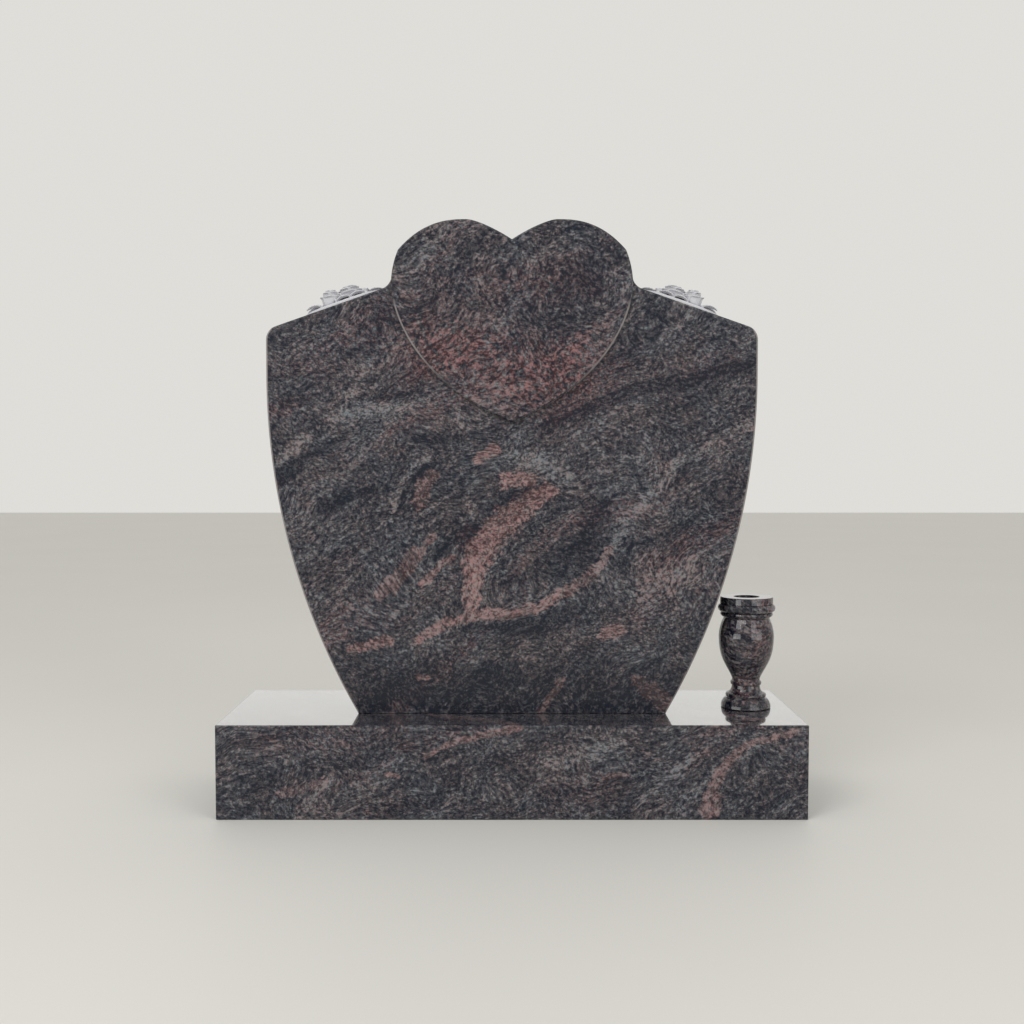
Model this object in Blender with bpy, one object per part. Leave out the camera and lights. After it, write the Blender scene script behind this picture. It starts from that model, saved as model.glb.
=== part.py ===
"""Heart headstone: a granite base, a shield-shaped tablet with a raised heart and roses
carved on both shoulders, and a turned flower vase. Metres, +Z up, front towards -Y."""
import math

import bmesh
import bpy
from mathutils import Matrix, Vector
from mathutils.bvhtree import BVHTree

# Driving dimensions, in metres and degrees
REST_GAP = 0.0003            # clearance under each piece that rests on the base

BASE_HEIGHT = 0.1555
BASE_LEDGE = 0.0925          # base top bare in front of the tablet and behind it
BASE_END = 0.0315            # base top bare beyond the vase's foot, at both ends alike
BASE_ARRIS = 0.0015

TABLET_THICKNESS = 0.120
TABLET_WIDTH = 0.825
FOOT_WIDTH = 0.522
SHOULDER_HEIGHT = 0.6485     # where the shoulder line would meet the upright side
SHOULDER_SLOPE = 19.2
CORNER_RADIUS = 0.024
SIDE_UPRIGHT = 0.063         # upright length between the corner and the curved side
NECK_RADIUS = 0.026          # hollow curve between shoulder and heart
TABLET_ARRIS = 0.0028
OUTLINE_STEP = 0.012         # longest straight piece in a curved outline

HEART_RELIEF = 0.010
HEART_WIDTH = 0.4035
HEART_SEAT = 0.0015          # the heart's widest level, below where its side meets the shoulder line
HEART_DROP = 0.2275          # from the widest level down to the tip
HEART_TIP_SLOPE = 22.0
HEART_TIP_REACH = 0.190
HEART_CHEEK_REACH = 0.030
LOBE_RISE = 0.1093           # from the widest level up to the lobe's peak
LOBE_PEAK = 0.076            # lobe peak from the centre line
LOBE_EDGE_INSET = 0.012      # the break between side and lobe, in from the widest point
LOBE_EDGE_RISE = 0.059
LOBE_EDGE_SLOPE = 49.0
LOBE_OUTER_PULL = 0.025
LOBE_EDGE_PULL = 0.067
LOBE_INNER_PULL = 0.016
NOTCH_RISE = 0.0761          # from the widest level up to the notch between the lobes
NOTCH_SLOPE = 34.0
NOTCH_PULL = 0.028

SPRAY_NECK_GAP = 0.002       # flat shoulder left between the neck curve and the carving
SPRAY_CORNER_GAP = 0.045     # flat shoulder left between the carving and the corner
SPRAY_SIDE_GAP = 0.0052      # flat shoulder left between the carving and each arris
CARVING_STEP = 0.0034        # spacing of the carving's surface grid
BLOOM_RADIUS = 0.0180
BLOOM_HEIGHT = 0.0325
OPEN_BLOOM_RADIUS = 0.0225
OPEN_BLOOM_HEIGHT = 0.0300
BUD_RADIUS = 0.0105
BUD_HEIGHT = 0.018
PETAL_THICKNESS = 0.0034
LEAF_LENGTH = 0.044
LEAF_WIDTH = 0.028
LEAF_THICKNESS = 0.0045
LEAF_LIFT = 0.0035
GROUND_HEIGHT = 0.0078       # the carved ground that carries flowers and leaves

VASE_CLEARANCE = 0.0097      # between the vase's collar and the tablet's side
VASE_EDGE = 0.0012           # small step, groove or eased edge
VASE_FOOT_RADIUS = 0.0428
VASE_FOOT_HEIGHT = 0.017
VASE_DISC_RADIUS = 0.035
VASE_DISC_THICKNESS = 0.007
VASE_STEM_RADIUS = 0.0240
VASE_COVE_HEIGHT = 0.0138
VASE_RING_RADIUS = 0.0268
VASE_RING_THICKNESS = 0.008
VASE_NECK_LENGTH = 0.004
VASE_BELLY_RADIUS = 0.0475
VASE_BELLY_RISE = 0.073      # from the neck up to the widest level of the belly
VASE_BELLY_PULL = 0.042
VASE_FLARE = 0.009           # sideways start of the belly above the neck
VASE_FLARE_RISE = 0.022
VASE_THROAT_RADIUS = 0.0395
VASE_THROAT_RISE = 0.032     # from the widest level up to the throat
VASE_TURN = 0.012            # how long the belly stays near its widest above that level
VASE_THROAT_PULL = 0.008
VASE_THROAT_FLARE = 0.004    # sideways end of the belly below the throat
VASE_GROOVE_RADIUS = 0.0424
VASE_BEAD_GAP = 0.0035
VASE_BEAD_RADIUS = 0.0452
VASE_BEAD_THICKNESS = 0.007
VASE_COLLAR_RADIUS = 0.0495
VASE_COLLAR_THICKNESS = 0.015
VASE_LIP_RADIUS = 0.0455
VASE_LIP_HEIGHT = 0.0115
VASE_BORE_RADIUS = 0.0215
VASE_BORE_FLOOR = 0.012      # stone left between the neck and the bottom of the bore
VASE_STEP = 0.010            # longest straight piece in the vase's curves
VASE_SEGMENTS = 32

SEAT_HEIGHT = BASE_HEIGHT + REST_GAP
BASE_DEPTH = TABLET_THICKNESS + 2 * BASE_LEDGE
BACK = TABLET_THICKNESS / 2
FRONT = -TABLET_THICKNESS / 2
HEART_FACE = FRONT - HEART_RELIEF
SPRAY_DEPTH = TABLET_THICKNESS - 2 * (TABLET_ARRIS + SPRAY_SIDE_GAP)
VASE_NECK_HEIGHT = (VASE_FOOT_HEIGHT + VASE_EDGE + VASE_DISC_THICKNESS + VASE_COVE_HEIGHT
                    + VASE_RING_THICKNESS + VASE_NECK_LENGTH)
VASE_HEIGHT = (VASE_NECK_HEIGHT + VASE_BELLY_RISE + VASE_THROAT_RISE + VASE_BEAD_GAP
               + VASE_BEAD_THICKNESS + VASE_COLLAR_THICKNESS + VASE_LIP_HEIGHT)


def clear_scene():
    for item in list(bpy.data.objects):
        bpy.data.objects.remove(item, do_unlink=True)


def stone(name, colour, roughness):
    material = bpy.data.materials.new(name)
    material.use_nodes = True
    shader = material.node_tree.nodes["Principled BSDF"]
    shader.inputs["Base Color"].default_value = (*colour, 1.0)
    shader.inputs["Roughness"].default_value = roughness
    shader.inputs["Metallic"].default_value = 0.0
    return material


def new_object(name, bm, material):
    bmesh.ops.recalc_face_normals(bm, faces=bm.faces)
    mesh = bpy.data.meshes.new(name)
    bm.to_mesh(mesh)
    bm.free()
    mesh.materials.append(material)
    item = bpy.data.objects.new(name, mesh)
    bpy.context.scene.collection.objects.link(item)
    return item


def arc(centre, radius, start, end, step):
    """Points on a circle from one angle to another, in degrees, ends included."""
    length = abs(math.radians(end - start)) * radius
    count = max(2, math.ceil(length / step))
    points = []
    for index in range(count + 1):
        angle = math.radians(start + (end - start) * index / count)
        points.append(Vector((centre[0] + radius * math.cos(angle),
                              centre[1] + radius * math.sin(angle))))
    return points


def cubic(first, second, third, fourth, t):
    """A point, or a number, on a cubic curve at t from 0 to 1."""
    s = 1 - t
    return s ** 3 * first + 3 * s * s * t * second + 3 * s * t * t * third + t ** 3 * fourth


def bezier(p0, p1, p2, p3, step):
    """Points on a cubic curve, ends included."""
    p0, p1, p2, p3 = (Vector(p) for p in (p0, p1, p2, p3))
    length = (p1 - p0).length + (p2 - p1).length + (p3 - p2).length
    count = max(3, math.ceil(length / step))
    return [cubic(p0, p1, p2, p3, index / count) for index in range(count + 1)]


def polar(length, degrees):
    return Vector((length * math.cos(math.radians(degrees)), length * math.sin(math.radians(degrees))))


def mirrored(points):
    """The same points on the other side of the centre line, in reverse order."""
    return [Vector((-p.x, p.y)) for p in reversed(points)]


def angle_of(vector):
    return math.degrees(math.atan2(vector.y, vector.x))


def joined(*chains):
    """Chains that meet end to end, without the doubled points."""
    points = list(chains[0])
    for chain in chains[1:]:
        points.extend(chain[1:])
    return points


def corner_centre():
    """Centre of the right outer corner's arc, which touches the side and the shoulder line."""
    drop = CORNER_RADIUS * math.tan(math.radians(90 - SHOULDER_SLOPE) / 2)
    return Vector((TABLET_WIDTH / 2 - CORNER_RADIUS, SHOULDER_HEIGHT - drop))


def side_circle():
    """Centre and radius of the right side: one circular arc that ends upright at the top."""
    top = corner_centre().y - SIDE_UPRIGHT
    inset = (TABLET_WIDTH - FOOT_WIDTH) / 2
    radius = (inset ** 2 + top ** 2) / (2 * inset)
    return Vector((TABLET_WIDTH / 2 - radius, top)), radius


def half_width_at(height):
    """Half of the tablet's width at a height above its bottom, up to the shoulder."""
    centre, radius = side_circle()
    below = max(0.0, centre.y - height)
    return centre.x + math.sqrt(radius ** 2 - below ** 2)


def vase_from_centre():
    return half_width_at(VASE_HEIGHT) + VASE_CLEARANCE + VASE_COLLAR_RADIUS


class TabletOutline:
    """The tablet seen from the front, x across and y up from its bottom, as three chains:
    shield, from the right neck down, round the foot and up to the left neck;
    lobes, from the left neck over the heart's top to the right neck;
    heart, the heart's lower edge from the right neck by the tip to the left neck."""

    def __init__(self, step):
        small = step * 0.4
        slope = math.radians(SHOULDER_SLOPE)
        along = Vector((math.cos(slope), -math.sin(slope)))
        normal = Vector((math.sin(slope), math.cos(slope)))

        side_centre, side_radius = side_circle()
        side_start = angle_of(Vector((FOOT_WIDTH / 2, 0)) - side_centre)
        side = arc(side_centre, side_radius, side_start, 0, step * 2)
        corner = arc(corner_centre(), CORNER_RADIUS, 0, 90 - SHOULDER_SLOPE, small)

        # The heart hangs where its side crosses the shoulder line. Its side is an arc that is
        # upright at the widest level.
        inward = (TABLET_WIDTH - HEART_WIDTH) / 2
        widest = Vector((HEART_WIDTH / 2, SHOULDER_HEIGHT + inward * math.tan(slope) - HEART_SEAT))
        edge = widest + Vector((-LOBE_EDGE_INSET, LOBE_EDGE_RISE))
        cheek_radius = (LOBE_EDGE_INSET ** 2 + LOBE_EDGE_RISE ** 2) / (2 * LOBE_EDGE_INSET)
        cheek_centre = Vector((widest.x - cheek_radius, widest.y))

        # The neck curve touches the shoulder line and the heart's side.
        on_line = Vector((TABLET_WIDTH / 2, SHOULDER_HEIGHT)) + normal * NECK_RADIUS
        to_centre = cheek_centre - on_line
        reach = cheek_radius + NECK_RADIUS
        foot_distance = to_centre.dot(along)
        height = to_centre.dot(normal)
        neck_centre = on_line + along * (foot_distance + math.sqrt(reach ** 2 - height ** 2))
        touch = angle_of(neck_centre - cheek_centre)
        neck = arc(neck_centre, NECK_RADIUS, touch - 180, -90 - SHOULDER_SLOPE, small)

        cheek = arc(cheek_centre, cheek_radius, angle_of(edge - cheek_centre), touch, step)
        below_neck = arc(cheek_centre, cheek_radius, touch, 0, step)

        # The shoulder line is divided evenly under the carved spray.
        flat = (corner[-1] - neck[-1]).length
        self.spray_length = flat - SPRAY_NECK_GAP - SPRAY_CORNER_GAP
        self.columns = math.ceil(self.spray_length / CARVING_STEP)
        spray_start = neck[-1] + along * SPRAY_NECK_GAP
        shoulder = [spray_start + along * (self.spray_length * index / self.columns)
                    for index in range(self.columns + 1)]

        peak = Vector((LOBE_PEAK, widest.y + LOBE_RISE))
        notch = Vector((0, widest.y + NOTCH_RISE))
        tip = Vector((0, widest.y - HEART_DROP))
        outer = bezier(peak, peak + Vector((LOBE_OUTER_PULL, 0)),
                       edge + polar(LOBE_EDGE_PULL, 180 - LOBE_EDGE_SLOPE), edge, step)
        inner = bezier(notch, notch + polar(NOTCH_PULL, NOTCH_SLOPE),
                       peak - Vector((LOBE_INNER_PULL, 0)), peak, step)
        lower = bezier(widest, widest - Vector((0, HEART_CHEEK_REACH)),
                       tip + polar(HEART_TIP_REACH, HEART_TIP_SLOPE), tip, step)

        right_side = neck + shoulder + list(reversed(corner)) + list(reversed(side))
        right_lobe = joined(inner, outer, cheek)
        right_heart = joined(below_neck, lower)
        self.shield = right_side + mirrored(right_side)
        self.lobes = joined(mirrored(right_lobe), right_lobe)
        self.heart = joined(right_heart, mirrored(right_heart))
        self.first_column = len(neck)
        self.shoulder_normal = normal


def inset_points(points, widths):
    """A closed outline, listed clockwise, moved inwards by its own width at each point."""
    moved = []
    count = len(points)
    for index, point in enumerate(points):
        before = (point - points[index - 1]).normalized()
        after = (points[(index + 1) % count] - point).normalized()
        turn = Vector((before.y + after.y, -before.x - after.x)).normalized()
        stretch = max(0.35, turn.dot(Vector((after.y, -after.x))))
        moved.append(point + turn * widths[index] / stretch)
    return moved


def nearest(point, chain):
    return min((point - other).length for other in chain)


def ring(bm, points, depth):
    return [bm.verts.new((p.x, depth, p.y)) for p in points]


def band(bm, first, second, closed):
    """Quads between two rows of vertices; where the rows share a vertex, a triangle."""
    count = len(first)
    for index in range(count if closed else count - 1):
        after = (index + 1) % count
        corners = [first[index], first[after], second[after], second[index]]
        unique = list(dict.fromkeys(corners))
        bm.faces.new(unique)


def carved_columns(bm, outline):
    """For each shield point under a spray, its column of carved vertices, front to back."""
    heights = carving_heights(outline)
    columns = {}
    last = len(outline.shield) - 1
    for column, row in enumerate(heights):
        index = outline.first_column + column
        for place, side in ((index, 1), (last - index, -1)):
            point = outline.shield[place]
            normal = Vector((side * outline.shoulder_normal.x, outline.shoulder_normal.y))
            raised = [(point + normal * height, depth) for depth, height in row]
            columns[place] = [bm.verts.new((p.x, depth, p.y)) for p, depth in raised]
    return columns


def shield_wall(bm, front, back, columns):
    """The tablet's edge from front to back, with the carving's grid where two columns meet."""
    for index in range(len(front) - 1):
        here = [front[index], *columns.get(index, []), back[index]]
        there = [front[index + 1], *columns.get(index + 1, []), back[index + 1]]
        if len(here) == len(there):
            band(bm, here, there, False)
        else:
            bm.faces.new(here + list(reversed(there)))


def slab_with_heart(step):
    """The tablet: a slab with bevelled arrises, the raised heart and the carved shoulders."""
    outline = TabletOutline(step)
    shield = outline.shield
    lobes = outline.lobes
    lower = outline.heart
    bm = bmesh.new()

    whole = shield + lobes[1:-1]
    heart = lobes + lower[1:-1]
    full = [TABLET_ARRIS] * len(whole)
    # The front arris dies out where the shoulder runs into the heart.
    front_widths = [min(TABLET_ARRIS, nearest(p, lower) / 2) for p in shield]
    front_inset = inset_points(whole, front_widths + full[len(shield):])[:len(shield)]

    back_face = ring(bm, inset_points(whole, full), BACK)
    back_edge = ring(bm, whole, BACK - TABLET_ARRIS)
    bm.faces.new(back_face)
    band(bm, back_face, back_edge, True)

    # Slab front around the heart. Its two end vertices are the necks.
    side_edge = [bm.verts.new((p.x, FRONT + w, p.y)) for p, w in zip(shield, front_widths)]
    face_edge = [side_edge[0], *ring(bm, front_inset[1:-1], FRONT), side_edge[-1]]
    heart_foot = [side_edge[0], *ring(bm, lower[1:-1], FRONT), side_edge[-1]]
    shield_wall(bm, side_edge, back_edge[:len(shield)], carved_columns(bm, outline))
    band(bm, side_edge, face_edge, False)
    bm.faces.new(face_edge + list(reversed(heart_foot[1:-1])))

    # The raised heart, flush with the slab's edge along the lobes.
    heart_edge = ring(bm, heart, HEART_FACE + TABLET_ARRIS)
    heart_face = ring(bm, inset_points(heart, [TABLET_ARRIS] * len(heart)), HEART_FACE)
    bm.faces.new(heart_face)
    band(bm, heart_face, heart_edge, True)
    lobe_edge = heart_edge[:len(lobes)]
    lower_edge = [heart_edge[len(lobes) - 1], *heart_edge[len(lobes):], heart_edge[0]]
    band(bm, lower_edge, heart_foot, False)
    lobe_back = [back_edge[len(shield) - 1], *back_edge[len(shield):], back_edge[0]]
    band(bm, lobe_edge[1:-1], lobe_back[1:-1], False)
    bm.faces.new([lobe_edge[0], lobe_edge[1], lobe_back[1], lobe_back[0], side_edge[-1]])
    bm.faces.new([lobe_edge[-2], lobe_edge[-1], side_edge[0], lobe_back[-1], lobe_back[-2]])
    return bm


def thick_sheet(surface, across, along, thickness):
    """A closed curved sheet: surface(u, v) gives its outer skin, and the inner skin lies
    one thickness behind it. u runs over -1..1 and v over 0..1."""
    nudge = 1e-3
    outer = []
    inner = []
    for row in range(along + 1):
        v = row / along
        for column in range(across + 1):
            u = 2 * column / across - 1
            point = surface(u, v)
            du = surface(u + nudge, v) - surface(u - nudge, v)
            dv = surface(u, v + nudge) - surface(u, v - nudge)
            normal = du.cross(dv).normalized()
            outer.append(point)
            inner.append(point - normal * thickness)
    bm = bmesh.new()
    outer = [bm.verts.new(p) for p in outer]
    inner = [bm.verts.new(p) for p in inner]
    width = across + 1
    for row in range(along):
        for column in range(across):
            a = row * width + column
            cell = [a, a + 1, a + 1 + width, a + width]
            bm.faces.new([outer[k] for k in cell])
            bm.faces.new([inner[k] for k in reversed(cell)])
    rim = list(range(width))
    rim += [row * width + across for row in range(1, along + 1)]
    rim += [along * width + column for column in range(across - 1, -1, -1)]
    rim += [row * width for row in range(along - 1, 0, -1)]
    for index, a in enumerate(rim):
        b = rim[(index + 1) % len(rim)]
        bm.faces.new([outer[b], outer[a], inner[a], inner[b]])
    return bm


# One row for each ring of petals: how many, half angle, turn, then root radius, mouth radius,
# mouth height and outward lip as shares of the bloom's own radius and height.
PETAL_RINGS = (
    (5, 46.0, 0.0, 0.40, 0.88, 0.66, 0.14),
    (5, 44.0, 34.0, 0.30, 0.66, 0.86, 0.08),
    (4, 52.0, 12.0, 0.20, 0.42, 0.96, 0.03),
    (3, 64.0, 50.0, 0.08, 0.20, 1.00, 0.00),
)
# The bud's one ring, in the same order.
BUD_RING = (2, 95.0, 20.0, 0.35, 0.62, 0.92, 0.02)
PETAL_BELLY = (1.12, 0.10)   # lower control point of a petal's profile: share of mouth, of top
PETAL_WAIST = (0.92, 1.02)   # upper control point
PETAL_SCALLOP = 0.16         # how much lower a petal's sides end than its middle
PETAL_OVERLAP = 0.07         # how far one side stands outside the next petal
PETAL_SPREAD = (0.75, 0.35)  # a petal's width at its root, and its gain to the rim
CORE_SHARES = (0.66, 0.62)   # a bloom's solid core, as shares of its radius and height
BUD_CORE_SHARES = (0.70, 0.95)


def petal_surface(radius, height, half_angle, turn, root, mouth, top, lip):
    def surface(u, v):
        t = v * (1 - PETAL_SCALLOP * u * u)
        reach = cubic(root, mouth * PETAL_BELLY[0], mouth * PETAL_WAIST[0], mouth + lip, t)
        rise = cubic(0, PETAL_BELLY[1], PETAL_WAIST[1], 1, t)
        out = radius * reach * (1 + PETAL_OVERLAP * u)
        angle = math.radians(turn + half_angle * u * (PETAL_SPREAD[0] + PETAL_SPREAD[1] * t))
        return Vector((out * math.cos(angle), out * math.sin(angle), height * top * rise))
    return surface


def petal_ring(radius, height, ring_row, across, along):
    count, half_angle, turn, *profile = ring_row
    petals = []
    for index in range(count):
        surface = petal_surface(radius, height, half_angle, turn + 360 * index / count, *profile)
        petals.append(thick_sheet(surface, across, along, PETAL_THICKNESS))
    return petals


def core(radius, height, shares, segments):
    solid = bmesh.new()
    bmesh.ops.create_uvsphere(solid, u_segments=segments, v_segments=6, radius=1.0)
    size = (radius * shares[0], radius * shares[0], height * shares[1])
    bmesh.ops.scale(solid, vec=size, verts=solid.verts)
    return solid


def bloom(radius, height):
    """A rose as closed petals around a solid core, its axis along +Z."""
    pieces = [core(radius, height, CORE_SHARES, 10)]
    for ring_row in PETAL_RINGS:
        pieces.extend(petal_ring(radius, height, ring_row, 10, 8))
    return pieces


def bud(radius, height):
    """A closed bud: two wrapped petals round a pointed core."""
    return [core(radius, height, BUD_CORE_SHARES, 8), *petal_ring(radius, height, BUD_RING, 5, 3)]


def leaf(length, width, lift):
    """A leaf from the origin along +X, arched, with its two halves rising from a sunk midrib."""
    def surface(u, v):
        breadth = width / 2 * math.sin(math.pi * (0.10 + 0.87 * v) ** 0.85)
        arch = lift * math.sin(math.pi * (0.15 + 0.60 * v))
        crease = 0.13 * width * (1 - (1 - abs(u)) ** 2) * math.sin(math.pi * (0.12 + 0.76 * v))
        return Vector((length * v, breadth * u, arch + crease))
    return [thick_sheet(surface, 8, 8, LEAF_THICKNESS)]


# The spray on the right shoulder. Each bloom or bud: radius, height, place outward along the
# slope and place back as shares of the spray's length and depth, then degrees of outward tilt
# and of turn.
BLOOM_PLACES = (
    (BLOOM_RADIUS, BLOOM_HEIGHT, 0.135, -0.210, -12.0, 200.0),
    (OPEN_BLOOM_RADIUS, OPEN_BLOOM_HEIGHT, -0.110, -0.110, -4.0, 48.0),
    (OPEN_BLOOM_RADIUS, OPEN_BLOOM_HEIGHT, 0.040, 0.220, 4.0, 80.0),
)
BUD_PLACES = (
    (BUD_RADIUS, BUD_HEIGHT, -0.270, -0.150, -14.0, 30.0),
    (BUD_RADIUS, BUD_HEIGHT, 0.280, 0.160, 16.0, 70.0),
)
# Each leaf: place of its root outward and back as shares of the spray's length and depth,
# heading in degrees from outward, and share of the leaf's size.
LEAF_PLACES = (
    (0.245, -0.300, 0.0, 0.60),
    (0.200, -0.100, 12.0, 0.84),
    (0.050, -0.350, -178.0, 0.62),
    (-0.120, -0.340, 178.0, 0.66),
    (-0.300, -0.030, 178.0, 0.66),
    (-0.220, 0.120, 160.0, 0.86),
    (-0.150, 0.240, 124.0, 0.66),
    (0.210, 0.240, 40.0, 0.74),
)
# The ground under the spray: how much of the spray's length and depth it takes, and how
# square its corners are.
GROUND_SHARES = (0.985, 0.96)
GROUND_SQUARENESS = 3.2


def ground(length, depth):
    """A flat slab, with rounded corners seen from above, that reaches below the shoulder."""
    slab = bmesh.new()
    bmesh.ops.create_cone(slab, cap_ends=True, segments=32, radius1=1.0, radius2=1.0,
                          depth=2 * GROUND_HEIGHT)
    for vert in slab.verts:
        way = vert.co.xy.normalized()
        square = abs(way.x) ** GROUND_SQUARENESS + abs(way.y) ** GROUND_SQUARENESS
        reach = square ** (-1 / GROUND_SQUARENESS)
        vert.co.xy = (way.x * reach * length / 2, way.y * reach * depth / 2)
    return slab


def stood(out, back, tilt, turn):
    """The place of a bloom: on the shoulder's surface, tilted outward and turned."""
    return (Matrix.Translation((out, back, 0)) @ Matrix.Rotation(math.radians(tilt), 4, 'Y')
            @ Matrix.Rotation(math.radians(turn), 4, 'Z'))


def spray_pieces(length, depth):
    """The carving as closed pieces: x outward down the shoulder, y back, z off its surface."""
    placed = []
    for radius, height, out, back, tilt, turn in BLOOM_PLACES:
        place = stood(out * length, back * depth, tilt, turn)
        placed.extend((piece, place) for piece in bloom(radius, height))
    for radius, height, out, back, tilt, turn in BUD_PLACES:
        place = stood(out * length, back * depth, tilt, turn)
        placed.extend((piece, place) for piece in bud(radius, height))
    for out, back, heading, size in LEAF_PLACES:
        place = (Matrix.Translation((out * length, back * depth, GROUND_HEIGHT - LEAF_THICKNESS / 2))
                 @ Matrix.Rotation(math.radians(heading), 4, 'Z'))
        placed.extend((piece, place) for piece in leaf(LEAF_LENGTH * size, LEAF_WIDTH * size, LEAF_LIFT))
    placed.append((ground(length * GROUND_SHARES[0], depth * GROUND_SHARES[1]), Matrix()))
    for piece, place in placed:
        piece.transform(place)
    return [piece for piece, _ in placed]


def carving_heights(outline):
    """The carving as seen straight down on the shoulder: for each column across the spray,
    pairs of depth and height, which fall to nothing at the spray's border. Each height is
    the mean of nine close readings, which rounds the edges."""
    length = outline.spray_length
    whole = bmesh.new()
    for piece in spray_pieces(length, SPRAY_DEPTH):
        mesh = bpy.data.meshes.new("carving")
        piece.to_mesh(mesh)
        piece.free()
        whole.from_mesh(mesh)
        bpy.data.meshes.remove(mesh)
    tree = BVHTree.FromBMesh(whole)
    rows = math.ceil(SPRAY_DEPTH / CARVING_STEP)
    reach = 2 * (BLOOM_HEIGHT + OPEN_BLOOM_HEIGHT + LEAF_LIFT)
    shifts = [CARVING_STEP * share for share in (-0.45, 0.0, 0.45)]

    def height(out, back):
        total = 0.0
        for shift_out in shifts:
            for shift_back in shifts:
                origin = Vector((out + shift_out, back + shift_back, reach))
                hit = tree.ray_cast(origin, Vector((0, 0, -1)), reach)[0]
                total += max(0.0, hit.z) if hit else 0.0
        return total / len(shifts) ** 2

    grid = []
    for column in range(outline.columns + 1):
        out = length * (column / outline.columns - 0.5)
        inside = 0 < column < outline.columns
        line = []
        for row in range(rows + 1):
            back = SPRAY_DEPTH * (row / rows - 0.5)
            line.append((back, height(out, back) if inside and 0 < row < rows else 0.0))
        grid.append(line)
    whole.free()
    return grid


def make_base(material):
    width = 2 * (vase_from_centre() + VASE_FOOT_RADIUS + BASE_END)
    bm = bmesh.new()
    bmesh.ops.create_cube(bm, size=1.0)
    bmesh.ops.scale(bm, vec=(width, BASE_DEPTH, BASE_HEIGHT), verts=bm.verts)
    base = new_object("base", bm, material)
    base.location = (0, 0, BASE_HEIGHT / 2)
    arris = base.modifiers.new("arris", 'BEVEL')
    arris.width = BASE_ARRIS
    arris.segments = 2
    return base


def make_tablet(material):
    tablet = new_object("tablet", slab_with_heart(OUTLINE_STEP), material)
    tablet.location = (0, 0, SEAT_HEIGHT)
    tablet.data.shade_smooth()
    tablet.data.set_sharp_from_angle(angle=math.radians(30))
    return tablet


def half_round(radius, low, high, bulge, count):
    """A rounded moulding: from low to high at radius, swelling outwards by bulge."""
    points = []
    for index in range(count + 1):
        angle = math.pi * (index / count - 0.5)
        height = (low + high) / 2 + (high - low) / 2 * math.sin(angle)
        points.append(Vector((radius + bulge * math.cos(angle), height)))
    return points


def quarter(start, end, count, rises_first):
    """A quarter ellipse between two points of the profile."""
    points = []
    for index in range(count + 1):
        angle = math.pi / 2 * index / count
        across = 1 - math.cos(angle) if rises_first else math.sin(angle)
        up = math.sin(angle) if rises_first else 1 - math.cos(angle)
        points.append(Vector((start.x + (end.x - start.x) * across,
                              start.y + (end.y - start.y) * up)))
    return points


def vase_profile():
    """The vase's outline from the underside's centre, up the outside and down the bore."""
    stem = VASE_STEM_RADIUS
    belly = VASE_BELLY_RADIUS
    throat = VASE_THROAT_RADIUS
    groove = VASE_GROOVE_RADIUS
    lip = VASE_LIP_RADIUS
    bore = VASE_BORE_RADIUS
    disc_edge = VASE_DISC_RADIUS - 2 * VASE_EDGE
    disc_low = VASE_FOOT_HEIGHT + VASE_EDGE
    disc_high = disc_low + VASE_DISC_THICKNESS
    ring_low = disc_high + VASE_COVE_HEIGHT
    ring_high = ring_low + VASE_RING_THICKNESS
    neck = VASE_NECK_HEIGHT
    widest = neck + VASE_BELLY_RISE
    throat_height = widest + VASE_THROAT_RISE
    bead_low = throat_height + VASE_BEAD_GAP
    bead_high = bead_low + VASE_BEAD_THICKNESS
    collar_high = bead_high + VASE_COLLAR_THICKNESS
    top = VASE_HEIGHT
    floor = neck + VASE_BORE_FLOOR

    chains = [
        [Vector((0, 0)), Vector((VASE_FOOT_RADIUS - VASE_EDGE, 0))],
        quarter(Vector((VASE_FOOT_RADIUS, VASE_EDGE)), Vector((disc_edge, VASE_FOOT_HEIGHT)), 5, True),
        half_round(disc_edge, disc_low, disc_high, 2 * VASE_EDGE, 4),
        quarter(Vector((disc_edge, disc_high)), Vector((stem, ring_low)), 4, False),
        half_round(stem, ring_low, ring_high, VASE_RING_RADIUS - stem, 4),
        bezier((stem, neck), (stem + VASE_FLARE, neck + VASE_FLARE_RISE),
               (belly, widest - VASE_BELLY_PULL), (belly, widest), VASE_STEP),
        bezier((belly, widest), (belly, widest + VASE_TURN),
               (throat + VASE_THROAT_FLARE, throat_height - VASE_THROAT_PULL),
               (throat, throat_height), VASE_STEP),
        half_round(groove, bead_low, bead_high, VASE_BEAD_RADIUS - groove, 4),
        half_round(groove, bead_high, collar_high, VASE_COLLAR_RADIUS - groove, 6),
        [Vector((lip, collar_high)), Vector((lip, top - VASE_EDGE)), Vector((lip - VASE_EDGE, top))],
        [Vector((bore + VASE_EDGE, top)), Vector((bore, top - VASE_EDGE))],
        [Vector((bore, floor)), Vector((0, floor))],
    ]
    points = [chains[0][0]]
    for chain in chains:
        for point in chain:
            if (point - points[-1]).length > VASE_EDGE / 4:
                points.append(point)
    return points


def make_vase(material):
    bm = bmesh.new()
    profile = [bm.verts.new((p.x, 0, p.y)) for p in vase_profile()]
    edges = [bm.edges.new(pair) for pair in zip(profile, profile[1:])]
    bmesh.ops.spin(bm, geom=profile + edges, cent=(0, 0, 0), axis=(0, 0, 1),
                   angle=2 * math.pi, steps=VASE_SEGMENTS, use_merge=True)
    bmesh.ops.remove_doubles(bm, verts=bm.verts, dist=1e-6)
    vase = new_object("vase", bm, material)
    vase.location = (vase_from_centre(), 0, SEAT_HEIGHT)
    vase.data.shade_smooth()
    vase.data.set_sharp_from_angle(angle=math.radians(35))
    return vase


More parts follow.
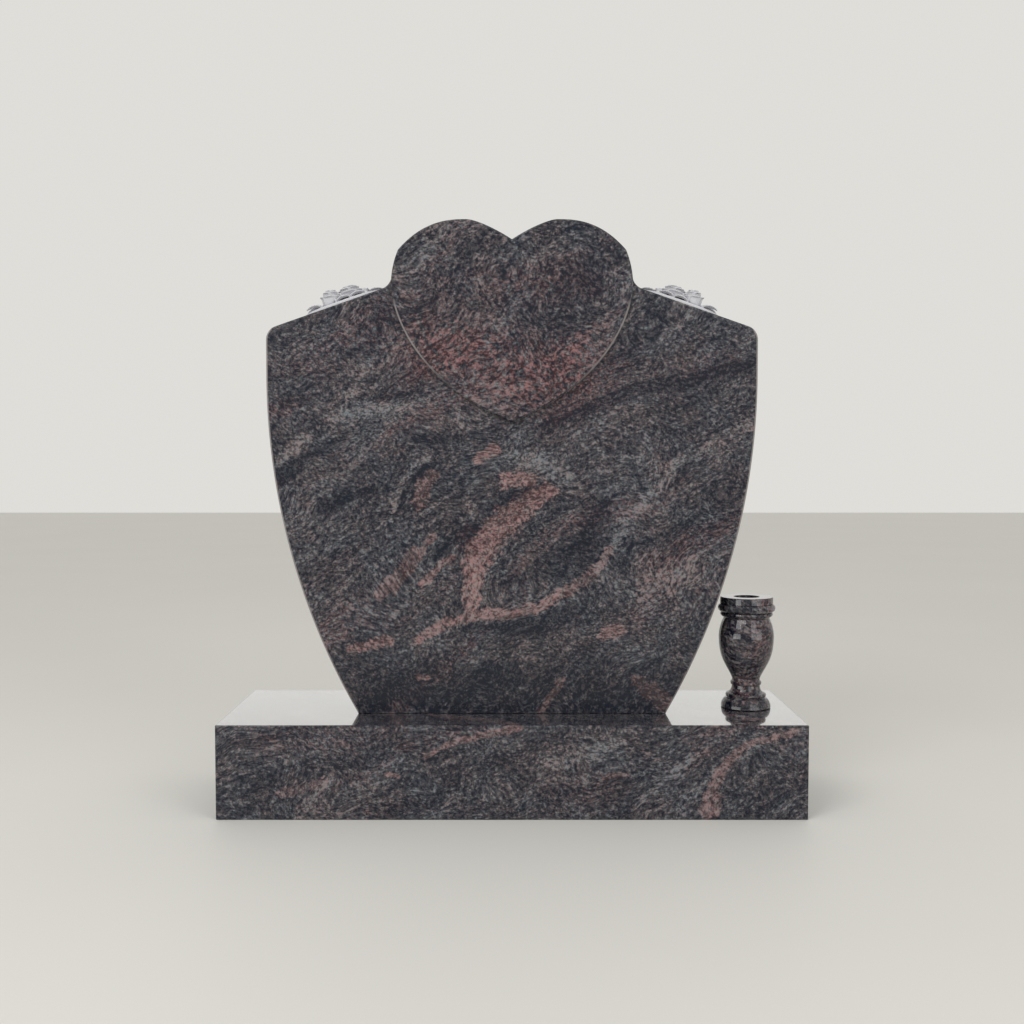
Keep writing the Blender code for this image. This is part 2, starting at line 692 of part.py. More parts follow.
def main():
    clear_scene()
    polished = stone("polished_granite", (0.066, 0.058, 0.063), 0.12)
    vase_stone = stone("vase_granite", (0.055, 0.047, 0.052), 0.08)
    base_stone = stone("base_granite", (0.066, 0.058, 0.063), 0.10)
    make_base(base_stone)
    make_tablet(polished)
    make_vase(vase_stone)


main()
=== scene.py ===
import math

import bmesh
import bpy
import numpy as np
from mathutils import Matrix, Vector, noise


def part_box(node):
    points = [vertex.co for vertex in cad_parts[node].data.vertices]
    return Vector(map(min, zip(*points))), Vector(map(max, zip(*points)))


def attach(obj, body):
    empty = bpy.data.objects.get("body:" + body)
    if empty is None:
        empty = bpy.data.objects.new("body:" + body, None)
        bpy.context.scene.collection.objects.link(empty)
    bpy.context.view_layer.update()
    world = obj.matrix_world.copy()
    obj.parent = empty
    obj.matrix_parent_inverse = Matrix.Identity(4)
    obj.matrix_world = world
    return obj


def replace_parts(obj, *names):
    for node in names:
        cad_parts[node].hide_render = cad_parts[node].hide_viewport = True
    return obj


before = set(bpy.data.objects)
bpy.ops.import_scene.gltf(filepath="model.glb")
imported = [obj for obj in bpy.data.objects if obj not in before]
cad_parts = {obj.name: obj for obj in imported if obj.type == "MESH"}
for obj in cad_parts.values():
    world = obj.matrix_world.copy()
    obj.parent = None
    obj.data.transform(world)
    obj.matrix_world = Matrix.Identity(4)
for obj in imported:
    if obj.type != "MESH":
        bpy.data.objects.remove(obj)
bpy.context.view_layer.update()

# Heart headstone of polished swirled granite: base, tablet with a raised heart, carved roses
# on both shoulders, and a turned vase. Metres, +Z up, front towards -Y.

BASE_LOW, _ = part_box("base")
TABLET_LOW, TABLET_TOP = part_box("tablet")
VASE_LOW, VASE_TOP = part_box("vase")
VASE_X = (VASE_LOW.x + VASE_TOP.x) / 2
SEAT = TABLET_LOW.z
HEART_RELIEF = 0.010
FRONT = TABLET_LOW.y + HEART_RELIEF
BACK = TABLET_TOP.y
THICKNESS = BACK - FRONT


# Node graphs

class Graph:
    """A small helper for writing a material's node graph as expressions."""

    def __init__(self, name):
        self.material = bpy.data.materials.new(name)
        self.material.use_nodes = True
        self.tree = self.material.node_tree
        self.shader = self.tree.nodes["Principled BSDF"]

    def node(self, kind, **values):
        made = self.tree.nodes.new(kind)
        for key, value in values.items():
            setattr(made, key, value)
        return made

    def feed(self, socket, value):
        if isinstance(value, bpy.types.NodeSocket):
            self.tree.links.new(value, socket)
        else:
            socket.default_value = value

    def math(self, operation, a, b=0.0, c=0.0):
        made = self.node("ShaderNodeMath", operation=operation)
        for socket, value in zip(made.inputs, (a, b, c)):
            self.feed(socket, value)
        return made.outputs[0]

    def vector(self, operation, a, b=(0, 0, 0), scale=1.0):
        made = self.node("ShaderNodeVectorMath", operation=operation)
        self.feed(made.inputs[0], a)
        if operation == "SCALE":
            self.feed(next(s for s in made.inputs if s.identifier == "Scale"), scale)
        else:
            self.feed(made.inputs[1], b)
        return made.outputs["Value" if operation in {"DOT_PRODUCT", "DISTANCE"} else "Vector"]

    def combine(self, x, y, z):
        made = self.node("ShaderNodeCombineXYZ")
        for socket, value in zip(made.inputs, (x, y, z)):
            self.feed(socket, value)
        return made.outputs[0]

    def split(self, vector):
        made = self.node("ShaderNodeSeparateXYZ")
        self.feed(made.inputs[0], vector)
        return made.outputs

    def noise(self, vector, scale, detail=2.0, roughness=0.5, colour=False):
        made = self.node("ShaderNodeTexNoise")
        self.feed(made.inputs["Vector"], vector)
        made.inputs["Scale"].default_value = scale
        made.inputs["Detail"].default_value = detail
        made.inputs["Roughness"].default_value = roughness
        return made.outputs["Color" if colour else "Fac"]

    def cells(self, vector, scale):
        made = self.node("ShaderNodeTexVoronoi")
        self.feed(made.inputs["Vector"], vector)
        made.inputs["Scale"].default_value = scale
        return made.outputs["Color"]

    def range(self, value, low, high, to_low=0.0, to_high=1.0):
        made = self.node("ShaderNodeMapRange", interpolation_type='SMOOTHSTEP')
        for socket, item in zip(made.inputs, (value, low, high, to_low, to_high)):
            self.feed(socket, item)
        return made.outputs[0]

    def mix(self, share, a, b, blend='MIX'):
        made = self.node("ShaderNodeMix", data_type='RGBA', blend_type=blend)
        self.feed(made.inputs[0], share)
        self.feed(made.inputs[6], a if isinstance(a, bpy.types.NodeSocket) else (*a, 1.0))
        self.feed(made.inputs[7], b if isinstance(b, bpy.types.NodeSocket) else (*b, 1.0))
        return made.outputs[2]

    def place(self):
        return self.node("ShaderNodeTexCoord").outputs["Object"]

    def bump(self, height, strength, distance):
        made = self.node("ShaderNodeBump")
        made.inputs["Strength"].default_value = strength
        made.inputs["Distance"].default_value = distance
        self.feed(made.inputs["Height"], height)
        self.feed(self.shader.inputs["Normal"], made.outputs[0])

    def near_path(self, flat, path):
        """Closeness to a chain of points (x, z, half width): 1 on it, 0 and less from its edge."""
        best = None
        for (ax, az, aw), (bx, bz, bw) in zip(path, path[1:]):
            run = Vector((bx - ax, 0, bz - az))
            from_a = self.vector("SUBTRACT", flat, (ax, 0, az))
            along = self.vector("DOT_PRODUCT", from_a, tuple(run / run.length_squared))
            share = self.math("MAXIMUM", self.math("MINIMUM", along, 1.0), 0.0)
            on_run = self.vector("SCALE", tuple(run), scale=share)
            gap = self.vector("DISTANCE", from_a, on_run)
            width = self.math("MULTIPLY_ADD", share, bw - aw, aw)
            close = self.math("SUBTRACT", 1.0, self.math("DIVIDE", gap, width))
            best = close if best is None else self.math("MAXIMUM", best, close)
        return best

    def bump_field(self, flat, x, z, size_x, size_z, height):
        """A round hill of that height at a place."""
        away = self.vector("MULTIPLY", self.vector("SUBTRACT", flat, (x, 0, z)),
                           (1 / size_x, 0, 1 / size_z))
        square = self.vector("DOT_PRODUCT", away, away)
        fall = self.math("POWER", math.e, self.math("MULTIPLY", square, -1.0))
        return self.math("MULTIPLY", fall, height)


# The stone's grey grains; then the dark and light ends of its minerals, and its tints.
DARK = (0.0036, 0.0066, 0.0150)
MID = (0.048, 0.046, 0.053)
LIGHT = (0.200, 0.187, 0.190)
PINK_VEIN = ((0.055, 0.027, 0.030), (0.32, 0.180, 0.178))
PALE_VEIN = ((0.050, 0.042, 0.043), (0.27, 0.225, 0.218))
RED_MINERAL = ((0.034, 0.012, 0.015), (0.25, 0.128, 0.130))
CLOUD_TINTS = ((0.93, 1.01, 1.05), (1.06, 0.985, 0.97))
GRAIN_TINTS = ((0.90, 1.03, 1.06), (1.12, 0.96, 0.95))
# Veins run through the stone at a slant: how far x and z shift for each metre of depth.
DRIFT_X = 0.55
DRIFT_Z = -0.30
# How far noise bends the bands, and frays the veins.
BAND_WARP = 0.15
VEIN_WARP = 0.014
POLISH = 0.16
STONE_IOR = 1.38


def granite(name, corner, shift, slope, hills=(), salmon=(), grey=(), dark=(), blush=(),
            roughness=POLISH, tone=1.0):
    """Flowing granite. slope leans the bands; hills bend them; salmon, grey and dark are veins as
    chains of points; blush lists soft reddish zones. All x and z are metres on the front face, z
    from the bottom; corner gives the front face's y and the bottom's z."""
    g = Graph(name)
    place = g.place()
    x, y, z = g.split(place)
    front, bottom = corner
    depth = g.math("SUBTRACT", y, front)
    height = g.math("SUBTRACT", z, bottom)
    flat = g.combine(g.math("MULTIPLY_ADD", depth, DRIFT_X, x), 0.0,
                     g.math("MULTIPLY_ADD", depth, DRIFT_Z, height))
    moved = g.vector("ADD", place, shift)
    broad = g.vector("SUBTRACT", g.noise(moved, 5.0, 2.0, 0.5, colour=True), (0.5, 0.5, 0.5))
    fine = g.vector("SUBTRACT", g.noise(moved, 26.0, 2.0, 0.50, colour=True), (0.5, 0.5, 0.5))
    flat_fine = g.vector("ADD", flat, g.vector("SCALE", fine, scale=VEIN_WARP))
    bent = g.vector("ADD", flat_fine, g.vector("SCALE", broad, scale=BAND_WARP))
    bx, _, bz = g.split(bent)

    # level counts across the bands and along with them; lying is level for the grains, which
    # lean less.
    level = g.math("MULTIPLY_ADD", bx, -slope, bz)
    along = g.math("MULTIPLY_ADD", bz, slope, bx)
    for hill in hills:
        level = g.math("ADD", level, g.bump_field(flat_fine, *hill))
    lying = g.math("MULTIPLY_ADD", bx, -0.45 * slope, bz)

    def stretched(lines, across, with_them, deep):
        return g.combine(g.math("MULTIPLY", along, with_them), g.math("MULTIPLY", depth, deep),
                         g.math("MULTIPLY", lines, across))

    band_at = stretched(level, 14.0, 2.6, 6.0)
    band = g.noise(band_at, 1.0, 2.0, 0.5)
    streak = g.noise(stretched(level, 60.0, 13.0, 24.0), 1.0, 3.0, 0.60)
    fleck = g.noise(stretched(lying, 165.0, 100.0, 120.0), 1.0, 4.0, 0.74)
    grain_at = stretched(lying, 430.0, 330.0, 380.0)
    grain = g.noise(grain_at, 1.0, 1.0, 0.5)
    cell_red, cell_green, cell_tone = g.split(g.cells(moved, 300.0))

    # body is the stone's lightness: dark below 0, pale towards 1.
    body = g.math("MULTIPLY", g.range(streak, 0.36, 0.64, -0.5, 0.5), 0.26)
    for part, share in ((band, 0.75), (fleck, 3.20), (grain, 0.60), (cell_tone, 0.48)):
        body = g.math("MULTIPLY_ADD", g.math("SUBTRACT", part, 0.5), share, body)

    wobble = g.math("MULTIPLY", g.math("SUBTRACT", g.noise(moved, 75.0, 3.0, 0.6), 0.5), 1.7)
    ragged = g.math("MULTIPLY", g.math("SUBTRACT", fleck, 0.5), 1.2)

    def mask(path, soft):
        close = g.math("ADD", g.math("ADD", g.near_path(flat_fine, path), wobble), ragged)
        return g.range(close, 0.0, soft)

    for paths, share in ((grey, 0.34), (dark, -0.30)):
        for path in paths:
            body = g.math("MULTIPLY_ADD", mask(path, 1.0), share, body)

    low = g.range(body, -0.46, 0.12)
    high = g.range(body, 0.02, 0.72)
    colour = g.mix(high, g.mix(low, DARK, MID), LIGHT)

    # The grey drifts between blue-green and brown, in clouds and from grain to grain.
    hue = g.noise(g.vector("ADD", bent, (2.2, 6.1, 3.4)), 17.0, 3.0, 0.62)
    cloud_tint = g.mix(g.range(hue, 0.36, 0.64), *CLOUD_TINTS)
    colour = g.mix(1.0, colour, cloud_tint, blend='MULTIPLY')
    colour = g.mix(1.0, colour, g.mix(cell_red, *GRAIN_TINTS), blend='MULTIPLY')

    # Salmon veins mix pink grains with pale ones.
    red_grain = g.noise(g.vector("ADD", grain_at, (3.1, 9.2, 5.5)), 0.45, 2.0, 0.6)
    veins = None
    for path, share in salmon:
        one = g.math("MULTIPLY", mask(path, 0.40), share)
        veins = one if veins is None else g.math("MAXIMUM", veins, one)
    if veins is not None:
        lightness = g.range(body, -0.45, 0.50)
        pale_share = g.range(g.math("MULTIPLY_ADD", cell_green, 0.30, red_grain), 0.54, 0.84)
        mottled = g.mix(pale_share, g.mix(lightness, *PINK_VEIN), g.mix(lightness, *PALE_VEIN))
        colour = g.mix(veins, colour, mottled)

    # Reddish minerals gather in soft zones and in thin streaks of their own.
    red_noise = g.noise(g.vector("ADD", band_at, (7.3, 1.7, 4.1)), 1.0, 2.0, 0.5)
    zone = g.range(red_noise, 0.53, 0.72, 0.0, 0.40)
    for hill in blush:
        zone = g.math("ADD", zone, g.bump_field(flat_fine, *hill))
    red_share = g.range(g.math("MULTIPLY_ADD", cell_red, 0.22, red_grain), 0.50, 0.72)
    red = g.math("MINIMUM", g.math("MULTIPLY", zone, red_share), 1.0)
    colour = g.mix(red, colour, g.mix(g.range(body, -0.40, 0.5), *RED_MINERAL))
    if tone != 1.0:
        colour = g.mix(1.0, colour, (tone, tone, tone), blend='MULTIPLY')
    g.feed(g.shader.inputs["Base Color"], colour)
    g.shader.inputs["Roughness"].default_value = roughness
    g.shader.inputs["IOR"].default_value = STONE_IOR
    return g


def plain_tone(name, colour, roughness):
    """Almost one colour, with faint clouds."""
    g = Graph(name)
    cloud = g.noise(g.place(), 1.3, 2.0, 0.5)
    g.feed(g.shader.inputs["Base Color"],
           g.mix(g.range(cloud, 0.3, 0.7), tuple(c * 0.985 for c in colour), colour))
    g.shader.inputs["Roughness"].default_value = roughness
    return g.material


# Shapes. The tablet's outline follows the solid's own sizes, in finer steps.

TABLET_WIDTH = 0.825
FOOT_WIDTH = 0.522
SHOULDER_HEIGHT = 0.6485
SHOULDER_SLOPE = 19.2
CORNER_RADIUS = 0.024
SIDE_UPRIGHT = 0.063
NECK_RADIUS = 0.026
ARRIS = 0.0028
FOOT_ARRIS_SHARE = 0.3         # the eased edge along the tablet's foot is slighter
HEART_WIDTH = 0.4035
HEART_SEAT = 0.0015
HEART_DROP = 0.2275
HEART_TIP_SLOPE = 22
HEART_TIP_REACH = 0.190
HEART_CHEEK_REACH = 0.030
LOBE_RISE = 0.1093
LOBE_PEAK = 0.076
LOBE_EDGE_INSET = 0.012
LOBE_EDGE_RISE = 0.059
LOBE_EDGE_SLOPE = 49
LOBE_OUTER_PULL = 0.025
LOBE_EDGE_PULL = 0.067
LOBE_INNER_PULL = 0.016
NOTCH_RISE = 0.0761
NOTCH_SLOPE = 34
NOTCH_PULL = 0.028
SPRAY_NECK_GAP = 0.002
SPRAY_CORNER_GAP = 0.045
SPRAY_SIDE_GAP = 0.0052
STEP = 0.005                   # longest straight piece in a curved outline
FOOT_PIECES = 40
MITRE_LIMIT = 0.35             # keeps an inset row's sharp corners from running away
FLAT_ANGLE = 25                # faces that meet below this angle are shaded as one
HEART_FACE = FRONT - HEART_RELIEF
SPRAY_DEPTH = THICKNESS - 2 * (ARRIS + SPRAY_SIDE_GAP)


def polar(length, degrees):
    angle = math.radians(degrees)
    return Vector((length * math.cos(angle), length * math.sin(angle)))


def angle_of(vector):
    return math.degrees(math.atan2(vector.y, vector.x))


def cubic(first, second, third, fourth, t):
    s = 1 - t
    return s ** 3 * first + 3 * s * s * t * second + 3 * s * t * t * third + t ** 3 * fourth


def arc(centre, radius, start, end):
    count = max(4, math.ceil(abs(math.radians(end - start)) * radius / STEP))
    return [centre + polar(radius, start + (end - start) * k / count) for k in range(count + 1)]


def bezier(p0, p1, p2, p3):
    length = (p1 - p0).length + (p2 - p1).length + (p3 - p2).length
    count = math.ceil(length / STEP)
    return [cubic(p0, p1, p2, p3, k / count) for k in range(count + 1)]


def mirrored(points):
    return [Vector((-p.x, p.y)) for p in reversed(points)]


def joined(*chains):
    points = list(chains[0])
    for chain in chains[1:]:
        points.extend(chain[1:])
    return points


def tablet_outline():
    """Three chains seen from the front: shield, from the right neck round the foot to the left
    neck; lobes, over the heart's top back to the right neck; and the heart's lower edge. Also the
    start and end of the right shoulder's flat."""
    slope = math.radians(SHOULDER_SLOPE)
    along = Vector((math.cos(slope), -math.sin(slope)))
    normal = Vector((math.sin(slope), math.cos(slope)))
    drop = CORNER_RADIUS * math.tan(math.radians(90 - SHOULDER_SLOPE) / 2)
    corner_centre = Vector((TABLET_WIDTH / 2 - CORNER_RADIUS, SHOULDER_HEIGHT - drop))
    top = corner_centre.y - SIDE_UPRIGHT
    inset = (TABLET_WIDTH - FOOT_WIDTH) / 2
    side_radius = (inset ** 2 + top ** 2) / (2 * inset)
    side_centre = Vector((TABLET_WIDTH / 2 - side_radius, top))
    side = arc(side_centre, side_radius, angle_of(Vector((FOOT_WIDTH / 2, 0)) - side_centre), 0)
    corner = arc(corner_centre, CORNER_RADIUS, 0, 90 - SHOULDER_SLOPE)

    inward = (TABLET_WIDTH - HEART_WIDTH) / 2
    widest = Vector((HEART_WIDTH / 2, SHOULDER_HEIGHT + inward * math.tan(slope) - HEART_SEAT))
    edge = widest + Vector((-LOBE_EDGE_INSET, LOBE_EDGE_RISE))
    cheek_radius = (LOBE_EDGE_INSET ** 2 + LOBE_EDGE_RISE ** 2) / (2 * LOBE_EDGE_INSET)
    cheek_centre = Vector((widest.x - cheek_radius, widest.y))
    on_line = Vector((TABLET_WIDTH / 2, SHOULDER_HEIGHT)) + normal * NECK_RADIUS
    to_centre = cheek_centre - on_line
    reach = cheek_radius + NECK_RADIUS
    beyond = math.sqrt(reach ** 2 - to_centre.dot(normal) ** 2)
    neck_centre = on_line + along * (to_centre.dot(along) + beyond)
    touch = angle_of(neck_centre - cheek_centre)
    neck = arc(neck_centre, NECK_RADIUS, touch - 180, -90 - SHOULDER_SLOPE)
    cheek = arc(cheek_centre, cheek_radius, angle_of(edge - cheek_centre), touch)
    below_neck = arc(cheek_centre, cheek_radius, touch, 0)

    peak = Vector((LOBE_PEAK, widest.y + LOBE_RISE))
    notch = Vector((0, widest.y + NOTCH_RISE))
    tip = Vector((0, widest.y - HEART_DROP))
    outer = bezier(peak, peak + Vector((LOBE_OUTER_PULL, 0)),
                   edge + polar(LOBE_EDGE_PULL, 180 - LOBE_EDGE_SLOPE), edge)
    inner = bezier(notch, notch + polar(NOTCH_PULL, NOTCH_SLOPE),
                   peak - Vector((LOBE_INNER_PULL, 0)), peak)
    lower = bezier(widest, widest - Vector((0, HEART_CHEEK_REACH)),
                   tip + polar(HEART_TIP_REACH, HEART_TIP_SLOPE), tip)
    count = math.ceil((corner[-1] - neck[-1]).length / STEP)
    flat = [neck[-1].lerp(corner[-1], k / count) for k in range(1, count)]
    right_side = neck + flat + list(reversed(corner)) + list(reversed(side))
    foot = [Vector((FOOT_WIDTH * (0.5 - k / FOOT_PIECES), 0)) for k in range(1, FOOT_PIECES)]
    right_lobe = joined(inner, outer, cheek)
    right_heart = joined(below_neck, lower)
    return (right_side + foot + mirrored(right_side), joined(mirrored(right_lobe), right_lobe),
            joined(right_heart, mirrored(right_heart)), (neck[-1], corner[-1]))


def inset_points(points, widths):
    """A closed row of points moved inward, each by its own width."""
    moved = []
    for k, point in enumerate(points):
        before = (point - points[k - 1]).normalized()
        after = (points[(k + 1) % len(points)] - point).normalized()
        turn = Vector((before.y + after.y, -before.x - after.x)).normalized()
        stretch = max(MITRE_LIMIT, turn.dot(Vector((after.y, -after.x))))
        moved.append(point + turn * widths[k] / stretch)
    return moved


def ring(bm, points, depth):
    return [bm.verts.new((p.x, depth, p.y + SEAT)) for p in points]


def band(bm, first, second, closed, material=0):
    """Quads between two rows; where the rows share a vertex, a triangle."""
    for k in range(len(first) if closed else len(first) - 1):
        after = (k + 1) % len(first)
        unique = list(dict.fromkeys([first[k], first[after], second[after], second[k]]))
        if len(unique) > 2:
            bm.faces.new(unique).material_index = material


def piece_from(name, bm, materials):
    bmesh.ops.recalc_face_normals(bm, faces=bm.faces)
    mesh = bpy.data.meshes.new(name)
    bm.to_mesh(mesh)
    bm.free()
    for material in materials:
        mesh.materials.append(material)
    item = bpy.data.objects.new(name, mesh)
    bpy.context.scene.collection.objects.link(item)
    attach(item, "root")
    return item


def make_tablet(materials):
    """Builds the tablet and returns the ends of its right shoulder's flat."""
    shield, lobes, lower, flat = tablet_outline()
    bm = bmesh.new()
    whole = shield + lobes[1:-1]
    heart = lobes + lower[1:-1]
    # The eased edge fades where the heart's foot meets it, and is slighter along the bottom.
    shares = [min(FOOT_ARRIS_SHARE if p.y < 1e-6 else 1.0,
                  min((p - q).length for q in lower) / (2 * ARRIS)) for p in shield]
    across = shares + [1.0] * (len(whole) - len(shield))

    # Back: face, chamfer, edge.
    back_face = ring(bm, inset_points(whole, [ARRIS] * len(whole)), BACK)
    back_edge = ring(bm, whole, BACK - ARRIS)
    bm.faces.new(back_face)
    band(bm, back_face, back_edge, True, 1)

    # Front of the shield, round the heart. Its two end vertices are the necks.
    side_edge = [bm.verts.new((p.x, FRONT + ARRIS * w, p.y + SEAT)) for p, w in zip(shield, shares)]
    face_row = inset_points(whole, [ARRIS * w for w in across])[:len(shield)]
    face_edge = [side_edge[0], *ring(bm, face_row[1:-1], FRONT), side_edge[-1]]
    heart_foot = [side_edge[0], *ring(bm, lower[1:-1], FRONT), side_edge[-1]]
    band(bm, side_edge, back_edge[:len(shield)], False)
    band(bm, side_edge, face_edge, False, 1)
    bm.faces.new(face_edge + list(reversed(heart_foot[1:-1])))

    # The raised heart.
    heart_edge = ring(bm, heart, HEART_FACE + ARRIS)
    heart_face = ring(bm, inset_points(heart, [ARRIS] * len(heart)), HEART_FACE)
    bm.faces.new(heart_face)
    band(bm, heart_face, heart_edge, True, 1)
    lobe_edge = heart_edge[:len(lobes)]
    lower_edge = [heart_edge[len(lobes) - 1], *heart_edge[len(lobes):], heart_edge[0]]
    band(bm, lower_edge, heart_foot, False)
    lobe_back = [back_edge[len(shield) - 1], *back_edge[len(shield):], back_edge[0]]
    band(bm, lobe_edge[1:-1], lobe_back[1:-1], False)
    bm.faces.new([lobe_edge[0], lobe_edge[1], lobe_back[1], lobe_back[0], side_edge[-1]])
    bm.faces.new([lobe_edge[-2], lobe_edge[-1], side_edge[0], lobe_back[-1], lobe_back[-2]])
    tablet = piece_from("tablet_stone", bm, materials)
    tablet.data.shade_smooth()
    tablet.data.set_sharp_from_angle(angle=math.radians(FLAT_ANGLE))
    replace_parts(tablet, "tablet")
    return flat


# The carved roses

def sheet_into(bm, surface, across, along, thickness, place):
    """A closed curved sheet: surface(u, v) is its outer skin, u over -1..1 and v over 0..1."""
    nudge = 1e-3
    outer = []
    inner = []
    for row in range(along + 1):
        v = row / along
        for column in range(across + 1):
            u = 2 * column / across - 1
            point = surface(u, v)
            du = surface(u + nudge, v) - surface(u - nudge, v)
            dv = surface(u, v + nudge) - surface(u, v - nudge)
            thin = thickness * (1 - 0.45 * v) * (1 - 0.35 * u * u)
            outer.append(bm.verts.new(place @ point))
            inner.append(bm.verts.new(place @ (point - du.cross(dv).normalized() * thin)))
    width = across + 1
    for row in range(along):
        for column in range(across):
            a = row * width + column
            cell = (a, a + 1, a + 1 + width, a + width)
            bm.faces.new([outer[k] for k in cell])
            bm.faces.new([inner[k] for k in reversed(cell)])
    rim = list(range(width))
    rim += [row * width + across for row in range(1, along + 1)]
    rim += [along * width + column for column in range(across - 1, -1, -1)]
    rim += [row * width for row in range(along - 1, 0, -1)]
    for k, a in enumerate(rim):
        b = rim[(k + 1) % len(rim)]
        bm.faces.new([outer[b], outer[a], inner[a], inner[b]])


def ball_into(bm, size, place):
    made = bmesh.ops.create_uvsphere(bm, u_segments=24, v_segments=14, radius=1.0)["verts"]
    bmesh.ops.scale(bm, vec=size, verts=made)
    bmesh.ops.transform(bm, matrix=place, verts=made)


PETAL_GRID = (18, 16)
BUD_GRID = (14, 12)
LEAF_GRID = (30, 44)
LEAF_TEETH = 7
LEAF_LENGTH = 0.044
LEAF_WIDTH = 0.028
LEAF_LIFT = 0.0035
LEAF_SINK = 0.0022             # how far a leaf's root lies in the ground
GROUND_HEIGHT = 0.0078
GROUND_SQUARENESS = 3.2
GROUND_FLATNESS = 0.28
GROUND_ROUGHNESS = 0.0006
CARVING_VOXEL = 0.0010
# The carving's painted shade and light: darker in its hollows, paler on its ridges, by each
# vertex's height above its surroundings.
HOLLOW_ROUNDS = 14             # how widely the surface is averaged to find its hollows
HOLLOW_SPAN = 0.0024           # height between the darkest hollow and the palest ridge

# How many petals, half angle, turn, then root, mouth, top and lip as shares of radius and height.
PETAL_RINGS = (
    (5, 46.0, 0.0, 0.40, 0.88, 0.62, 0.20),
    (5, 44.0, 34.0, 0.30, 0.68, 0.84, 0.14),
    (4, 50.0, 12.0, 0.20, 0.45, 0.96, 0.06),
    (3, 60.0, 50.0, 0.08, 0.24, 1.00, 0.00),
)


def petal(radius, height, half_angle, turn, root, mouth, top, lip, seed):
    """The surface of one petal: v runs from its root to its lip, u across it."""
    def surface(u, v):
        t = v * (1 - 0.15 * u * u - 0.05 * math.cos(3 * u + seed))
        reach = cubic(root, mouth * 1.14, mouth * 0.92, mouth + lip, t)
        rise = cubic(0, 0.08, 1.14, 1.0, t)
        ripple = 1 + 0.06 * u + 0.030 * t * t * math.sin(4 * u + seed * 2)
        angle = math.radians(turn + half_angle * u * (0.75 + 0.35 * t))
        out = radius * reach * ripple
        return Vector((out * math.cos(angle), out * math.sin(angle), height * top * rise))
    return surface


def bloom_into(bm, radius, height, place, seed):
    for row, (count, half_angle, turn, *profile) in enumerate(PETAL_RINGS):
        for k in range(count):
            surface = petal(radius, height, half_angle, turn + 360 * k / count, *profile,
                            seed + row * 1.7 + k * 2.3)
            sheet_into(bm, surface, *PETAL_GRID, 0.0030 - 0.0003 * row, place)
    ball_into(bm, (radius * 0.60, radius * 0.60, height * 0.50), place)


def bud_into(bm, radius, height, place, seed):
    for k, turn in enumerate((20.0, 140.0, 260.0)):
        surface = petal(radius, height, 78.0, turn, 0.35, 0.66, 0.94, 0.02, seed + k)
        sheet_into(bm, surface, *BUD_GRID, 0.0026, place)
    ball_into(bm, (radius * 0.62, radius * 0.62, height * 0.86), place)


def leaf_into(bm, length, width, place):
    def surface(u, v):
        teeth = 1 + 0.045 * math.cos(2 * math.pi * LEAF_TEETH * v)
        breadth = width / 2 * math.sin(math.pi * (0.08 + 0.90 * v) ** 0.85) * teeth
        arch = LEAF_LIFT * math.sin(math.pi * (0.15 + 0.70 * v))
        crease = 0.16 * width * (1 - (1 - abs(u)) ** 2) * math.sin(math.pi * (0.12 + 0.76 * v))
        run = 2 * math.pi * (LEAF_TEETH * v - 2.2 * abs(u))
        veins = 0.00045 * math.cos(run) * min(1.0, 4 * abs(u))
        midrib = 0.0007 * math.exp(-(u / 0.10) ** 2)
        return Vector((length * v, breadth * u, arch + crease + veins + midrib))
    sheet_into(bm, surface, *LEAF_GRID, 0.0034, place)


# Radius, height, place outward and back as shares of the spray's length and depth, outward
# tilt, turn.
BLOOMS = (
    (0.0180, 0.0325, 0.135, -0.210, -12.0, 200.0),
    (0.0225, 0.0300, -0.110, -0.110, -4.0, 48.0),
    (0.0225, 0.0300, 0.040, 0.220, 4.0, 80.0),
)
BUDS = (
    (0.0105, 0.0180, -0.270, -0.150, -14.0, 30.0),
    (0.0105, 0.0180, 0.280, 0.160, 16.0, 70.0),
)
# Root outward and back, heading from outward, upward pitch, share of full size.
LEAVES = (
    (0.245, -0.300, 0.0, 6.0, 0.60),
    (0.200, -0.100, 12.0, 2.0, 0.84),
    (0.050, -0.350, -178.0, 1.0, 0.62),
    (-0.120, -0.340, 178.0, -1.0, 0.66),
    (-0.300, -0.030, 178.0, 1.0, 0.66),
    (-0.220, 0.120, 160.0, 2.0, 0.86),
    (-0.150, 0.240, 124.0, 0.0, 0.66),
    (0.210, 0.240, 40.0, 0.0, 0.74),
)


def turned(degrees, axis):
    return Matrix.Rotation(math.radians(degrees), 4, axis)


